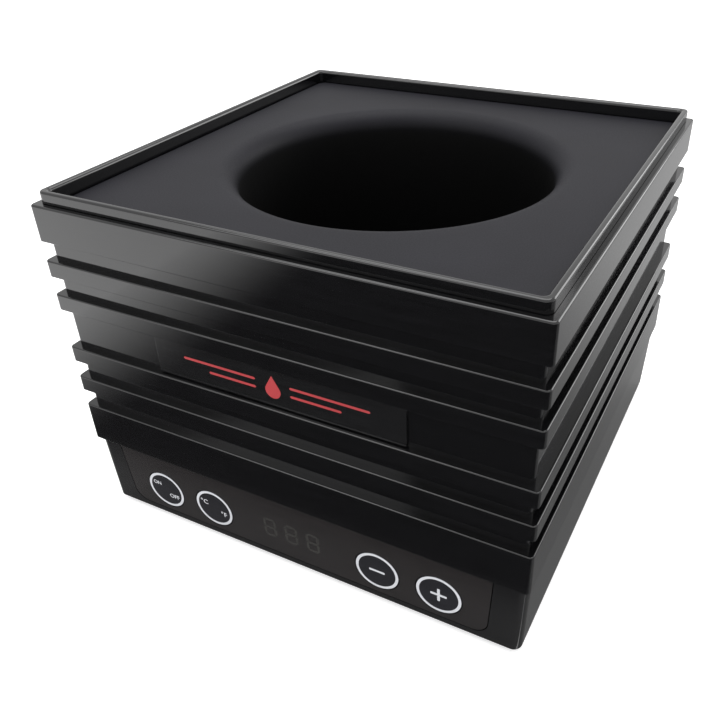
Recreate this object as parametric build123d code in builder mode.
"""Square table-top wax warmer with a lift-out silicone bowl.

Millimetres. +Z is up, the front (control panel) faces -Y.
The origin is the centre of the footprint, on the surface that the feet stand on.
"""

import os
from math import atan2, degrees

from build123d import *

# ---- driving dimensions: heights above the table ---------------------------
total_height = 185.0
foot_drop = 2.2
seam_z = 45.0
ledge_z = 179.2
top_band_bottom = 161.2
lowest_band_top = 67.6
thin_band = 8.5
band_pitch = 18.0
lower_thin_bands = 76.9
upper_thin_bands = 124.8

# ---- driving dimensions: plan ----------------------------------------------
band_half = 123.6
band_corner = 2.2
step = 3.5
wall = 3.0
rim_half = 120.4
rim_inner_half = 116.8
rim_corner = 3.6
peg_place = 115.4
base_top_half = 122.4
base_bottom_half = 120.8
base_corner = 6.0

# ---- driving dimensions: bowl and pot ---------------------------------------
well_radius = 80.0
well_depth = 130.0
lip_fillet = 10.0
bowl_wall = 3.0
flange_half = 116.2
flange_corner = 2.5
flange_top = 178.0
flange_thick = 2.6
pot_gap = 0.5
pot_wall = 1.6
rest_gap = 0.3

# ---- driving dimensions: control panel --------------------------------------
panel_bottom = 6.9
panel_top_half = 107.0
panel_bottom_half = 104.6
panel_corner = 8.0
panel_skin = 2.5
panel_side = 2.0
panel_gap = 0.4
key_radius = 11.9
key_clearance = 0.3
key_z = 21.8
key_places = {"power": -80.8, "unit": -48.5, "minus": 48.5, "plus": 80.8}
key_travel = 0.5
display_z = 23.8

# ---- driving dimensions: the rest -------------------------------------------
screw_x, screw_y = 106.0, 92.0
foot_x, foot_y, foot_radius = 104.0, 110.5, 8.0
inlet_x, inlet_z = -58.0, 25.0
inlet_screw_places = [(inlet_x - 20.0, inlet_z), (inlet_x + 20.0, inlet_z)]
badge_half = 65.5
badge_thick = 1.2

# ---- derived -------------------------------------------------------------------
recess_half = band_half - step
recess_corner = 2.0
base_bottom = foot_drop
base_height = seam_z - base_bottom
floor_top = base_bottom + wall
draft = degrees(atan2(base_top_half - base_bottom_half, base_height))
deck_top = flange_top - flange_thick - rest_gap
deck_bottom = deck_top - wall
thin_band_bottoms = [
    lower_thin_bands, lower_thin_bands + band_pitch,
    upper_thin_bands, upper_thin_bands + band_pitch,
]
tall_recess = (lower_thin_bands + band_pitch + thin_band, upper_thin_bands)
bowl_outer = well_radius + bowl_wall
bowl_floor = flange_top - well_depth
pot_inner = bowl_outer + pot_gap
pot_outer = pot_inner + pot_wall
pot_floor = bowl_floor - bowl_wall - pot_gap
flare_centre = well_radius + lip_fillet
pot_flare = flare_centre - pot_inner
pot_hole = flare_centre + 1.0
pot_lip = pot_hole + 6.0
lip_screw_circle = pot_hole + 2.6


def base_half_at(height):
    """Half width of the tapered base at a height above the table."""
    share = (height - base_bottom) / base_height
    return base_bottom_half + share * (base_top_half - base_bottom_half)


def save(part, name):
    """Label a finished piece and write its own STEP file."""
    part.label = name
    export_step(part, f"parts/{name}.step")


def slab(half, corner, low, high, edge):
    """A square slab with rounded corners, a softened top edge and a crisper bottom edge."""
    with BuildPart() as block:
        with BuildSketch(Plane.XY.offset(low)):
            RectangleRounded(2 * half, 2 * half, corner)
        extrude(amount=high - low)
        under, top = block.faces().filter_by(Axis.Z).sort_by(Axis.Z)
        fillet(top.edges(), radius=edge)
        fillet(under.edges(), radius=0.3)
    return block.part


def screw(x, y, seat, length, shank, head, head_height, up=True):
    """A pan-head screw standing on its seat; up means that its tip points up."""
    way = 1 if up else -1
    with BuildPart() as piece:
        with BuildSketch(Plane.XY.offset(seat)):
            with Locations((x, y)):
                Circle(head)
        extrude(amount=-way * head_height)
        with BuildSketch(Plane.XY.offset(seat)):
            with Locations((x, y)):
                Circle(shank)
        extrude(amount=way * length)
        with BuildSketch(Plane.XY.offset(seat - way * head_height)):
            with Locations((x, y)):
                Rectangle(1.3 * head, 0.28 * head)
                Rectangle(0.28 * head, 1.3 * head)
        extrude(amount=way * 0.5 * head_height, mode=Mode.SUBTRACT)
    return piece.part


def group(pieces):
    """Separate identical solids kept together as one node."""
    return Compound(children=list(pieces))


def corners(x, y):
    """The four mirrored places of one point."""
    return [(x, y), (-x, y), (x, -y), (-x, -y)]


os.makedirs("parts", exist_ok=True)

# ---- upper housing: six square bands with recesses between them -----------------
bands = [slab(band_half, band_corner, seam_z + 0.3, lowest_band_top, 0.7)]
bands += [slab(band_half, band_corner, low, low + thin_band, 0.7) for low in thin_band_bottoms]
bands += [slab(band_half, band_corner, top_band_bottom, ledge_z, 1.0)]
band_pockets = [(seam_z + 0.3, lowest_band_top - wall), (top_band_bottom + wall, deck_bottom)]
band_pockets += [(low + wall, low + thin_band - wall) for low in thin_band_bottoms]

with BuildPart() as upper_housing:
    with BuildSketch(Plane.XY.offset(seam_z + 0.3)):
        RectangleRounded(2 * recess_half, 2 * recess_half, recess_corner)
    extrude(amount=ledge_z - seam_z - 2.0)
    add(bands)
    # the inside follows the outside, one wall in
    with BuildSketch(Plane.XY.offset(seam_z)):
        RectangleRounded(2 * (recess_half - wall), 2 * (recess_half - wall), recess_corner)
    extrude(amount=deck_bottom - seam_z, mode=Mode.SUBTRACT)
    for low, high in band_pockets:
        with BuildSketch(Plane.XY.offset(low)):
            RectangleRounded(2 * (band_half - wall), 2 * (band_half - wall), recess_corner)
        extrude(amount=high - low, mode=Mode.SUBTRACT)
    # tray that the rim frame and the bowl's flange lie in
    with BuildSketch(Plane.XY.offset(deck_top)):
        RectangleRounded(2 * (rim_half - 1.5), 2 * (rim_half - 1.5), 3.0)
    extrude(amount=ledge_z, mode=Mode.SUBTRACT)
    # the round hole that the pot hangs in, with a seat for its lip
    with BuildSketch(Plane.XY.offset(deck_bottom)):
        Circle(pot_hole)
    extrude(amount=wall, mode=Mode.SUBTRACT)
    with BuildSketch(Plane.XY.offset(deck_top - pot_wall)):
        Circle(pot_lip + 0.4)
    extrude(amount=pot_wall, mode=Mode.SUBTRACT)
    # screw pillars from the deck down to the seam
    for place in corners(screw_x, screw_y):
        with BuildSketch(Plane.XY.offset(seam_z + 0.3)):
            with Locations(place):
                Circle(5.5)
        extrude(amount=deck_bottom - seam_z)
        with BuildSketch(Plane.XY.offset(seam_z + 0.3)):
            with Locations(place):
                Circle(1.7)
        extrude(amount=22, mode=Mode.SUBTRACT)
    # screw holes for the pot's lip and for the rim frame's pegs
    with BuildSketch(Plane.XY.offset(deck_bottom)):
        with PolarLocations(lip_screw_circle, 4, start_angle=45):
            Circle(1.0)
        with Locations(corners(peg_place, peg_place)):
            Circle(2.9)
    extrude(amount=wall, mode=Mode.SUBTRACT)
save(upper_housing.part, "upper_housing")

# ---- rim frame: glossy square frame that stands proud of the housing -----------
rim_bottom = ledge_z + rest_gap
skirt_half = rim_half - 1.8
with BuildPart() as rim_frame:
    with BuildSketch(Plane.XY.offset(rim_bottom)):
        RectangleRounded(2 * rim_half, 2 * rim_half, rim_corner)
    extrude(amount=total_height - rim_bottom)
    top_ring = rim_frame.faces().sort_by(Axis.Z)[-1].edges()
    fillet(top_ring, radius=1.1)
    with BuildSketch(Plane.XY.offset(deck_top)):
        RectangleRounded(2 * skirt_half, 2 * skirt_half, 2.8)
    extrude(amount=rim_bottom - deck_top)
    # pegs that go down through the deck and take the rim screws
    with BuildSketch(Plane.XY.offset(deck_bottom + 0.4)):
        with Locations(corners(peg_place, peg_place)):
            Circle(2.6)
    extrude(amount=deck_top + 1.6 - deck_bottom)
    with BuildSketch(Plane.XY.offset(deck_top)):
        RectangleRounded(2 * rim_inner_half, 2 * rim_inner_half, 2.2)
    extrude(amount=total_height, mode=Mode.SUBTRACT)
    inner_ring = rim_frame.faces().sort_by(Axis.Z)[-1].inner_wires().edges()
    fillet(inner_ring, radius=1.8)
    with BuildSketch(Plane.XY.offset(deck_bottom)):
        with Locations(corners(peg_place, peg_place)):
            Circle(1.05)
    extrude(amount=wall, mode=Mode.SUBTRACT)
save(rim_frame.part, "rim_frame")

# their tips stop just short of the deck's top, clear of the bowl's flange
rim_screws = group(
    screw(x, y, deck_bottom - 0.1, wall - 0.1, 1.0, 3.6, 1.8)
    for x, y in corners(peg_place, peg_place)
)
save(rim_screws, "rim_screws")

# ---- silicone bowl: square flange that rolls into a deep round well ------------
flange_bottom = flange_top - flange_thick
bowl_foot = 12.0
with BuildPart() as silicone_bowl:
    with BuildSketch(Plane.XY.offset(flange_bottom)):
        RectangleRounded(2 * flange_half, 2 * flange_half, flange_corner)
        Circle(flare_centre, mode=Mode.SUBTRACT)
    extrude(amount=flange_thick)
    fillet(silicone_bowl.faces().sort_by(Axis.Z)[-1].outer_wire().edges(), radius=1.0)
    with BuildSketch(Plane.XZ):
        with BuildLine():
            under = Polyline((0, bowl_floor - bowl_wall), (bowl_outer - bowl_foot, bowl_floor - bowl_wall))
            foot = JernArc(under @ 1, (1, 0), bowl_foot, 90)
            outside = Line(foot @ 1, (bowl_outer, flange_bottom - lip_fillet + bowl_wall))
            roll_under = JernArc(outside @ 1, (0, 1), lip_fillet - bowl_wall, -90)
            lip_end = Line(roll_under @ 1, (flare_centre, flange_top))
            roll_over = JernArc(lip_end @ 1, (-1, 0), lip_fillet, 90)
            inside = Line(roll_over @ 1, (well_radius, bowl_floor + bowl_foot))
            inner_foot = JernArc(inside @ 1, (0, -1), bowl_foot, -90)
            Polyline(inner_foot @ 1, (0, bowl_floor), (0, bowl_floor - bowl_wall))
        make_face()
    revolve(axis=Axis.Z)
save(silicone_bowl.part, "silicone_bowl")

# ---- heating pot: aluminium bucket hung from the deck by its flared lip --------
with BuildPart() as heating_pot:
    with BuildSketch(Plane.XZ):
        with BuildLine():
            base = Line((0, pot_floor - pot_wall), (pot_inner - bowl_foot, pot_floor - pot_wall))
            heel = JernArc(base @ 1, (1, 0), bowl_foot + pot_wall, 90)
            outside = Line(heel @ 1, (pot_outer, deck_top - pot_flare))
            under = JernArc(outside @ 1, (0, 1), pot_flare - pot_wall, -90)
            Polyline(
                under @ 1, (pot_lip, deck_top - pot_wall), (pot_lip, deck_top), (flare_centre, deck_top)
            )
            flare = JernArc((flare_centre, deck_top), (-1, 0), pot_flare, 90)
            inside = Line(flare @ 1, (pot_inner, pot_floor + bowl_foot))
            toe = JernArc(inside @ 1, (0, -1), bowl_foot, -90)
            Polyline(toe @ 1, (0, pot_floor), (0, pot_floor - pot_wall))
        make_face()
    revolve(axis=Axis.Z)
    with PolarLocations(lip_screw_circle, 4, start_angle=45):
        with Locations((0, 0, deck_top)):
            CounterSinkHole(radius=1.3, counter_sink_radius=2.4, depth=pot_wall)
save(heating_pot.part, "heating_pot")

lip_screws = []
for spot in PolarLocations(lip_screw_circle, 4, start_angle=45):
    with BuildPart() as lip_screw:
        with BuildSketch(Plane.XY.offset(deck_top - 0.05)) as head:
            with Locations(spot.position):
                Circle(2.25)
        extrude(amount=-1.1, taper=45)
        with BuildSketch(Plane.XY.offset(deck_top - 0.5)) as shank:
            with Locations(spot.position):
                Circle(0.95)
        extrude(amount=-5.0)
    lip_screws.append(lip_screw.part)
save(group(lip_screws), "pot_screws")

# ---- band heater, its clamp strap and the insulation round the pot -------------
heater_low, heater_high = 62.0, 112.0
heater_inner, heater_outer = pot_outer + 0.1, pot_outer + 2.6
strap_outer = heater_outer + 0.9
split_half = 5.0
with BuildPart() as band_heater:
    with BuildSketch(Plane.XY.offset(heater_low)):
        Circle(heater_outer)
        Circle(heater_inner, mode=Mode.SUBTRACT)
        with Locations((0, heater_outer)):
            Rectangle(2 * split_half, 20, mode=Mode.SUBTRACT)
    extrude(amount=heater_high - heater_low)
save(band_heater.part, "band_heater")

strap_ear = 9.0
clamp_bolt = (strap_outer + 5.0, 87.0)
with BuildPart() as heater_clamp:
    with BuildSketch(Plane.XY.offset(80)):
        Circle(strap_outer)
        Circle(heater_outer + 0.1, mode=Mode.SUBTRACT)
        with Locations(*[(side * (split_half + 0.6), strap_outer + 3.5) for side in (-1, 1)]):
            Rectangle(1.2, strap_ear)
        with Locations((0, strap_outer)):
            Rectangle(2 * split_half, 24, mode=Mode.SUBTRACT)
    extrude(amount=14)
    with BuildSketch(Plane.YZ.offset(-20)):
        with Locations(clamp_bolt):
            Circle(1.7)
    extrude(amount=40, mode=Mode.SUBTRACT)
save(heater_clamp.part, "heater_clamp")

with BuildPart() as clamp_screw:
    with BuildSketch(Plane.YZ.offset(-split_half - 1.3)):
        with Locations(clamp_bolt):
            Circle(2.8)
    extrude(amount=-2.2)
    with BuildSketch(Plane.YZ.offset(-split_half - 1.3)):
        with Locations(clamp_bolt):
            Circle(1.5)
    extrude(amount=2 * split_half + 8)
save(clamp_screw.part, "clamp_screw")

with BuildPart() as clamp_nut:
    with BuildSketch(Plane.YZ.offset(split_half + 1.3)):
        with Locations(clamp_bolt):
            RegularPolygon(radius=3.2, side_count=6)
            Circle(1.6, mode=Mode.SUBTRACT)
    extrude(amount=2.4)
save(clamp_nut.part, "clamp_nut")

with BuildPart() as insulation_sleeve:
    with BuildSketch(Plane.XY.offset(pot_floor + 12)):
        Circle(103)
        Circle(heater_outer + 14, mode=Mode.SUBTRACT)
    extrude(amount=deck_bottom - 12 - pot_floor - 12)
save(insulation_sleeve.part, "insulation_sleeve")

# ---- sensor, thermal fuse and their spring clip under the pot ------------------
pot_under = pot_floor - pot_wall
with BuildPart() as temperature_sensor:
    with BuildSketch(Plane.XY.offset(pot_under - 0.1)):
        with Locations((14, 0)):
            Circle(4)
    extrude(amount=-2.6)
save(temperature_sensor.part, "temperature_sensor")

with BuildPart() as thermal_fuse:
    with BuildSketch(Plane.YZ.offset(-20)):
        with Locations((0, pot_under - 1.7)):
            Circle(1.5)
    extrude(amount=11)
    with BuildSketch(Plane.YZ.offset(-26)):
        with Locations((0, pot_under - 1.7)):
            Circle(0.4)
    extrude(amount=23)
save(thermal_fuse.part, "thermal_fuse")

shield_low, shield_thick, shield_radius = 37.0, 1.0, 96.0
shield_posts = [(-82.0, -30.0), (66.0, -57.0), (-30.0, 82.0)]
with BuildPart() as sensor_clip:
    with BuildSketch(Plane.XY.offset(shield_low + shield_thick + 0.1)):
        RectangleRounded(56, 9, 2)
    extrude(amount=0.6)
    with BuildSketch(Plane.XY.offset(shield_low + shield_thick + 0.7)):
        with Locations((14, 0)):
            Circle(3)
        with Locations((-15, 0)):
            Rectangle(4, 5)
    extrude(amount=0.9)
save(sensor_clip.part, "sensor_clip")

with BuildPart() as heat_shield:
    with BuildSketch(Plane.XY.offset(shield_low)):
        Circle(shield_radius)
        with Locations(*shield_posts):
            Circle(1.7, mode=Mode.SUBTRACT)
        with Locations((2, 79)):
            Circle(8, mode=Mode.SUBTRACT)
    extrude(amount=shield_thick)
save(heat_shield.part, "heat_shield")

# ---- base housing: tapered tray with floor, pillars and the panel opening ------
panel_back = 115.5
pocket_face = base_bottom_half - panel_skin + 0.2
ear_x, ear_reach = 111.5, 115.0
ear_heights = (16.0, 36.0)
ear_places = [(x, z) for x in (-ear_x, ear_x) for z in ear_heights]
board_corner_x, board_corner_y = 38.0, 22.0
power_board_x, power_board_y = 46.0, 60.0
boss_top = floor_top + 5.0
lip_outer, lip_inner = base_top_half - 2.8, base_top_half - 4.8


def panel_outline(grow, raise_bottom=0.0):
    """The panel's outline in its own plane, grown outward by a clearance."""
    low = panel_bottom - grow + raise_bottom
    with BuildSketch() as outline:
        with BuildLine():
            Polyline(
                (-panel_top_half - grow, seam_z + 1), (-panel_bottom_half - grow, low),
                (panel_bottom_half + grow, low), (panel_top_half + grow, seam_z + 1), close=True,
            )
        make_face()
        fillet(outline.vertices().sort_by(Axis.Y)[:2], radius=panel_corner)
    return outline.sketch


with BuildPart() as tapered_block:
    with BuildSketch(Plane.XY.offset(seam_z)):
        RectangleRounded(2 * base_top_half, 2 * base_top_half, base_corner)
    extrude(amount=-base_height, taper=draft)
base_block = tapered_block.part

with BuildPart() as base_housing:
    add(base_block)
    fillet(base_housing.faces().sort_by(Axis.Z)[0].edges(), radius=1.4)
    with BuildSketch(Plane.XY.offset(seam_z)):
        RectangleRounded(2 * (base_top_half - wall), 2 * (base_top_half - wall), base_corner - wall)
    extrude(amount=-(base_height - wall), taper=draft, mode=Mode.SUBTRACT)
    # lip that locates the upper housing, left out behind the panel
    with BuildSketch(Plane.XY.offset(seam_z - 4)):
        RectangleRounded(2 * lip_outer, 2 * lip_outer, 3.0)
        RectangleRounded(2 * lip_inner, 2 * lip_inner, 1.2, mode=Mode.SUBTRACT)
        with Locations((0, -lip_outer)):
            Rectangle(2 * ear_reach + 2, 20, mode=Mode.SUBTRACT)
    extrude(amount=7)
    # opening for the control panel
    with BuildSketch(Plane.XZ.offset(panel_back - 2)):
        add(panel_outline(panel_gap))
    extrude(amount=20, mode=Mode.SUBTRACT)
    # pillars for the screws that come up from below
    for place in corners(screw_x, screw_y):
        with BuildSketch(Plane.XY.offset(floor_top - 1)):
            with Locations(place):
                Circle(6)
        extrude(amount=seam_z - floor_top + 1)
        with BuildSketch(Plane.XY.offset(base_bottom)):
            with Locations(place):
                Circle(4.4)
        extrude(amount=28, mode=Mode.SUBTRACT)
        with BuildSketch(Plane.XY.offset(base_bottom)):
            with Locations(place):
                Circle(2.2)
        extrude(amount=base_height, mode=Mode.SUBTRACT)
    # bosses that take the panel's ears, on the inside of the front wall
    with BuildSketch(Plane.XZ.offset(panel_back + 0.2)):
        with Locations(*ear_places):
            Circle(3)
    extrude(amount=4)
    with BuildSketch(Plane.XZ.offset(panel_back)):
        with Locations(*ear_places):
            Circle(0.9)
    extrude(amount=4, mode=Mode.SUBTRACT)
    # bosses under the power board and posts under the heat shield
    board_holes = [
        (power_board_x + sx * board_corner_x, power_board_y + sy * board_corner_y)
        for sx in (-1, 1) for sy in (-1, 1)
    ]
    with BuildSketch(Plane.XY.offset(floor_top - 1)):
        with Locations(*board_holes):
            Circle(3)
    extrude(amount=boss_top - floor_top + 1)
    with BuildSketch(Plane.XY.offset(floor_top)):
        with Locations(*board_holes):
            Circle(0.9)
    extrude(amount=boss_top, mode=Mode.SUBTRACT)
    with BuildSketch(Plane.XY.offset(floor_top)):
        with Locations(*shield_posts):
            Circle(4.2)
            Circle(2.2, mode=Mode.SUBTRACT)
    extrude(amount=4)
    # pockets for the feet, vents in the floor and the inlet's cut-out
    with BuildSketch(Plane.XY.offset(base_bottom)):
        with Locations(corners(foot_x, foot_y)):
            Circle(foot_radius + 0.15)
    extrude(amount=1.0, mode=Mode.SUBTRACT)
    with BuildSketch(Plane.XY.offset(base_bottom)):
        with Locations((0, -45)):
            with GridLocations(9, 44, 9, 2):
                SlotOverall(34, 3, rotation=90)
    extrude(amount=wall, mode=Mode.SUBTRACT)
    with BuildSketch(Plane.XZ.offset(-130)):
        with Locations((inlet_x, inlet_z)):
            Rectangle(28, 20.4)
        with Locations(*inlet_screw_places):
            Circle(1.7)
    extrude(amount=20, mode=Mode.SUBTRACT)
save(base_housing.part, "base_housing")

# ---- control panel: glossy insert that follows the base's sloping front --------
with BuildPart() as control_panel:
    add(base_block)
    with BuildSketch(Plane.XZ.offset(panel_back)):
        add(panel_outline(0))
    extrude(amount=20, mode=Mode.INTERSECT)
    with BuildSketch(Plane.XZ.offset(panel_back)):
        add(panel_outline(-panel_side))
        with Locations((0, seam_z)):
            Rectangle(300, 6, mode=Mode.SUBTRACT)
    extrude(amount=pocket_face - panel_back, mode=Mode.SUBTRACT)
    for side in (-1, 1):
        with BuildSketch(Plane.XZ.offset(panel_back - 2)):
            with Locations((side * (ear_reach + 101) / 2, 26)):
                RectangleRounded(ear_reach - 101, 28, 2)
            with Locations((side * ear_x, ear_heights[0]), (side * ear_x, ear_heights[1])):
                Circle(1.4, mode=Mode.SUBTRACT)
        extrude(amount=2)
    # posts that carry the control board
    post_places = [(x, z) for x in (-64.6, 64.6) for z in (13.0, 36.0)]
    post_end = 105.0
    with BuildSketch(Plane.XZ.offset(post_end)):
        with Locations(*post_places):
            Circle(2.4)
    extrude(amount=pocket_face - post_end + 0.5)
    with BuildSketch(Plane.XZ.offset(post_end)):
        with Locations(*post_places):
            Circle(0.9)
    extrude(amount=8, mode=Mode.SUBTRACT)
    with BuildSketch(Plane.XZ.offset(panel_back)):
        with Locations(*[(x, key_z) for x in key_places.values()]):
            Circle(key_radius + key_clearance)
    extrude(amount=20, mode=Mode.SUBTRACT)
save(control_panel.part, "control_panel")

# ---- keys: round caps flush with the panel, each with a stem to its switch -----
switch_height = 5.0
stem_end = post_end + switch_height + key_travel + rest_gap
for name, x in key_places.items():
    with BuildPart() as key:
        add(base_block)
        with BuildSketch(Plane.XZ.offset(pocket_face - 1.5)):
            with Locations((x, key_z)):
                Circle(key_radius)
        extrude(amount=20, mode=Mode.INTERSECT)
        fillet(key.faces().sort_by(Axis.Y)[0].edges(), radius=0.35)
        with BuildSketch(Plane.XZ.offset(pocket_face - 1.5)):
            with Locations((x, key_z)):
                Circle(key_radius + 0.7)
        extrude(amount=1.2)
        with BuildSketch(Plane.XZ.offset(stem_end)):
            with Locations((x, key_z)):
                Circle(2.5)
        extrude(amount=pocket_face - 1.5 - stem_end)
    save(key.part, f"key_{name}")

# ---- control board with its switches and display --------------------------------
board_thick = 1.6
board_front = post_end - 0.05
with BuildPart() as control_board:
    with BuildSketch(Plane.XZ.offset(board_front - board_thick)):
        with Locations((0, 24.5)):
            RectangleRounded(190, 32, 1.5)
        with Locations(*post_places):
            Circle(1.2, mode=Mode.SUBTRACT)
    extrude(amount=board_thick)
save(control_board.part, "control_board")

switches = []
for x in key_places.values():
    with BuildPart() as tact_switch:
        with BuildSketch(Plane.XZ.offset(board_front)):
            with Locations((x, key_z)):
                RectangleRounded(6, 6, 0.5)
        extrude(amount=3.5)
        with BuildSketch(Plane.XZ.offset(board_front + 3.5)):
            with Locations((x, key_z)):
                Circle(1.75)
        extrude(amount=1.5)
    switches.append(tact_switch.part)
save(group(switches), "tact_switches")

display_depth = 8.0
display_back = pocket_face - rest_gap - display_depth
with BuildPart() as display_module:
    with BuildSketch(Plane.XZ.offset(display_back)):
        with Locations((0, display_z)):
            RectangleRounded(37.6, 19.0, 0.4)
    extrude(amount=display_depth)
    with BuildSketch(Plane.XZ.offset(board_front)):
        with Locations((0, display_z)):
            Rectangle(31, 12)
    extrude(amount=display_back - board_front)
save(display_module.part, "display_module")


def screw_along_y(x, z, seat, length, shank, head, head_height):
    """A pan-head screw whose head is inside and whose tip points at the front."""
    with BuildPart() as piece:
        with BuildSketch(Plane.XZ.offset(seat - head_height)):
            with Locations((x, z)):
                Circle(head)
        extrude(amount=head_height)
        with BuildSketch(Plane.XZ.offset(seat)):
            with Locations((x, z)):
                Circle(shank)
        extrude(amount=length)
    return piece.part


board_screws = [
    screw_along_y(x, z, board_front - board_thick - 0.05, 7.0, 0.85, 2.2, 1.4) for x, z in post_places
]
save(group(board_screws), "control_board_screws")
ear_screws = [
    screw_along_y(x, z, panel_back - 2.05, 5.0, 0.85, 2.4, 1.6) for x, z in ear_places
]
save(group(ear_screws), "panel_screws")

# ---- power board and what is soldered to it ---------------------------------------
board_top = boss_top + board_thick
with BuildPart() as power_board:
    with BuildSketch(Plane.XY.offset(boss_top)):
        with Locations((power_board_x, power_board_y)):
            RectangleRounded(2 * board_corner_x + 10, 2 * board_corner_y + 12, 1.5)
        with Locations(*board_holes):
            Circle(1.3, mode=Mode.SUBTRACT)
    extrude(amount=board_thick)
save(power_board.part, "power_board")
save(
    group(screw(x, y, board_top + 0.05, 5.5, 0.85, 2.6, 1.8, up=False) for x, y in board_holes),
    "power_board_screws",
)

with BuildPart() as transformer:
    with BuildSketch(Plane.XY.offset(board_top)):
        with Locations((power_board_x + 22, power_board_y)):
            RectangleRounded(30, 26, 1)
    extrude(amount=21)
    with BuildSketch(Plane.XY.offset(board_top + 4)):
        with Locations((power_board_x + 22, power_board_y)):
            Rectangle(33, 20)
    extrude(amount=13)
save(transformer.part, "transformer")

with BuildPart() as relay:
    with BuildSketch(Plane.XY.offset(board_top)):
        with Locations((power_board_x - 14, power_board_y + 8)):
            RectangleRounded(19, 15.4, 0.6)
    extrude(amount=15.8)
    fillet(relay.faces().sort_by(Axis.Z)[-1].edges(), radius=0.6)
save(relay.part, "relay")

with BuildPart() as capacitor:
    with BuildSketch(Plane.XY.offset(board_top)):
        with Locations((power_board_x - 8, power_board_y - 12)):
            Circle(5)
    extrude(amount=18)
    fillet(capacitor.faces().sort_by(Axis.Z)[-1].edges(), radius=0.7)
save(capacitor.part, "capacitor")

with BuildPart() as terminal_block:
    with BuildSketch(Plane.XY.offset(board_top)):
        with Locations((power_board_x - 36, power_board_y)):
            Rectangle(9, 30)
    extrude(amount=11)
    with BuildSketch(Plane.XY.offset(board_top + 11)):
        with Locations((power_board_x - 36, power_board_y)):
            with GridLocations(0, 9.5, 1, 3):
                Circle(2.2)
    extrude(amount=-3, mode=Mode.SUBTRACT)
save(terminal_block.part, "terminal_block")

# ---- posts and screws of the heat shield -----------------------------------------
posts = []
for place in shield_posts:
    with BuildPart() as post:
        with BuildSketch(Plane.XY.offset(floor_top + 0.05)):
            with Locations(place):
                Circle(2.1)
        extrude(amount=5)
        with BuildSketch(Plane.XY.offset(floor_top + 4.1)):
            with Locations(place):
                RegularPolygon(radius=4, side_count=6)
        extrude(amount=shield_low - floor_top - 4.15)
        with BuildSketch(Plane.XY.offset(shield_low - 0.05)):
            with Locations(place):
                Circle(1.35)
        extrude(amount=-10, mode=Mode.SUBTRACT)
    posts.append(post.part)
save(group(posts), "shield_posts")
shield_top = shield_low + shield_thick
save(
    group(screw(x, y, shield_top + 0.05, 7, 1.3, 2.8, 1.8, up=False) for x, y in shield_posts),
    "shield_screws",
)

# ---- mains inlet at the back of the base -------------------------------------------
inlet_face = 123.5
socket_depth, pin_length = 17.0, 11.5
inlet_seat = base_half_at(inlet_z + 12) + 0.05
with BuildPart() as power_inlet:
    with BuildSketch(Plane.XZ.offset(-inlet_face)):
        with Locations((inlet_x, inlet_z)):
            RectangleRounded(50, 23.6, 3)
    extrude(amount=inlet_face - inlet_seat)
    with BuildSketch(Plane.XZ.offset(-inlet_seat)):
        with Locations((inlet_x, inlet_z)):
            RectangleRounded(27.4, 19.8, 1)
    extrude(amount=22)
    with BuildSketch(Plane.XZ.offset(-inlet_face)):
        with BuildLine():
            Polyline(
                (inlet_x - 12, inlet_z - 8), (inlet_x + 12, inlet_z - 8), (inlet_x + 12, inlet_z + 3.5),
                (inlet_x + 7.5, inlet_z + 8), (inlet_x - 7.5, inlet_z + 8), (inlet_x - 12, inlet_z + 3.5),
                close=True,
            )
        make_face()
    extrude(amount=socket_depth, mode=Mode.SUBTRACT)
    with BuildSketch(Plane.XZ.offset(-inlet_face)):
        with Locations(*inlet_screw_places):
            Circle(1.7)
    extrude(amount=4, mode=Mode.SUBTRACT)
    with BuildSketch(Plane.XZ.offset(-inlet_face)):
        with Locations(*inlet_screw_places):
            Circle(3.0)
    extrude(amount=0.9, mode=Mode.SUBTRACT)
save(power_inlet.part, "power_inlet")

pins = []
for dx, dz in ((-7, -2), (7, -2), (0, 3)):
    with BuildPart() as pin:
        with BuildSketch(Plane.XZ.offset(socket_depth - inlet_face)):
            with Locations((inlet_x + dx, inlet_z + dz)):
                RectangleRounded(2, 4, 0.4)
        extrude(amount=-pin_length)
    pins.append(pin.part)
save(group(pins), "inlet_pins")

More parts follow.
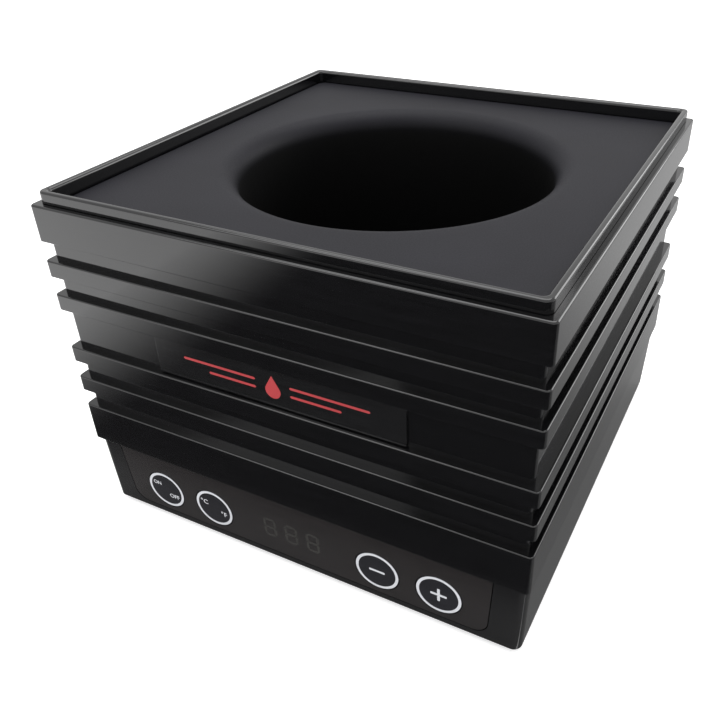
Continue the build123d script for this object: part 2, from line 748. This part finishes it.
inlet_screw_parts = []
for place in inlet_screw_places:
    with BuildPart() as inlet_screw:
        with BuildSketch(Plane.XZ.offset(0.02 - inlet_face)):
            with Locations(place):
                Circle(2.8)
        extrude(amount=0.85)
        with BuildSketch(Plane.XZ.offset(0.02 - inlet_face)):
            with Locations(place):
                Circle(1.5)
        extrude(amount=7)
    inlet_screw_parts.append(inlet_screw.part)
save(group(inlet_screw_parts), "inlet_screws")

# ---- inner wiring, held down inside the closed housing ----------------------------
leads = []
for offset in (0, 4):
    start = (6.0 + offset, 60.0, board_top + 11.5)
    with BuildPart() as lead:
        with BuildLine() as route:
            Spline(start, (2 + offset, 74, 34), (-4 + offset / 2, 96, 50), (-4 + offset / 2, 97, 60.5))
        with BuildSketch(Plane(origin=start, z_dir=route.line % 0)):
            Circle(1.0)
        sweep()
    leads.append(lead.part)
save(group(leads), "heater_leads")

with BuildPart() as ribbon_cable:
    with BuildSketch(Plane.YZ.offset(14)):
        with BuildLine():
            Polyline(
                (-103.2, 12), (-102.0, 12), (-94, 7.2), (28, 7.2),
                (28, 6.0), (-95, 6.0), (-103.2, 10), close=True,
            )
        make_face()
    extrude(amount=12)
save(ribbon_cable.part, "ribbon_cable")

# ---- feet, housing screws and badge -------------------------------------------------
feet = []
for x, y in corners(foot_x, foot_y):
    with BuildPart() as foot:
        with BuildSketch():
            with Locations((x, y)):
                Circle(foot_radius)
        extrude(amount=base_bottom + 0.9)
        fillet(foot.faces().sort_by(Axis.Z)[0].edges(), radius=0.8)
    feet.append(foot.part)
save(group(feet), "rubber_feet")
save(
    group(screw(x, y, base_bottom + 27.95, 30, 1.6, 3.8, 2.6) for x, y in corners(screw_x, screw_y)),
    "housing_screws",
)

with BuildPart() as name_badge:
    with BuildSketch(Plane.XZ.offset(recess_half + 0.05)):
        with Locations((0, sum(tall_recess) / 2)):
            RectangleRounded(2 * badge_half, tall_recess[1] - tall_recess[0] - 1.0, 0.6)
    extrude(amount=badge_thick)
    fillet(name_badge.faces().sort_by(Axis.Y)[0].edges(), radius=0.3)
save(name_badge.part, "name_badge")
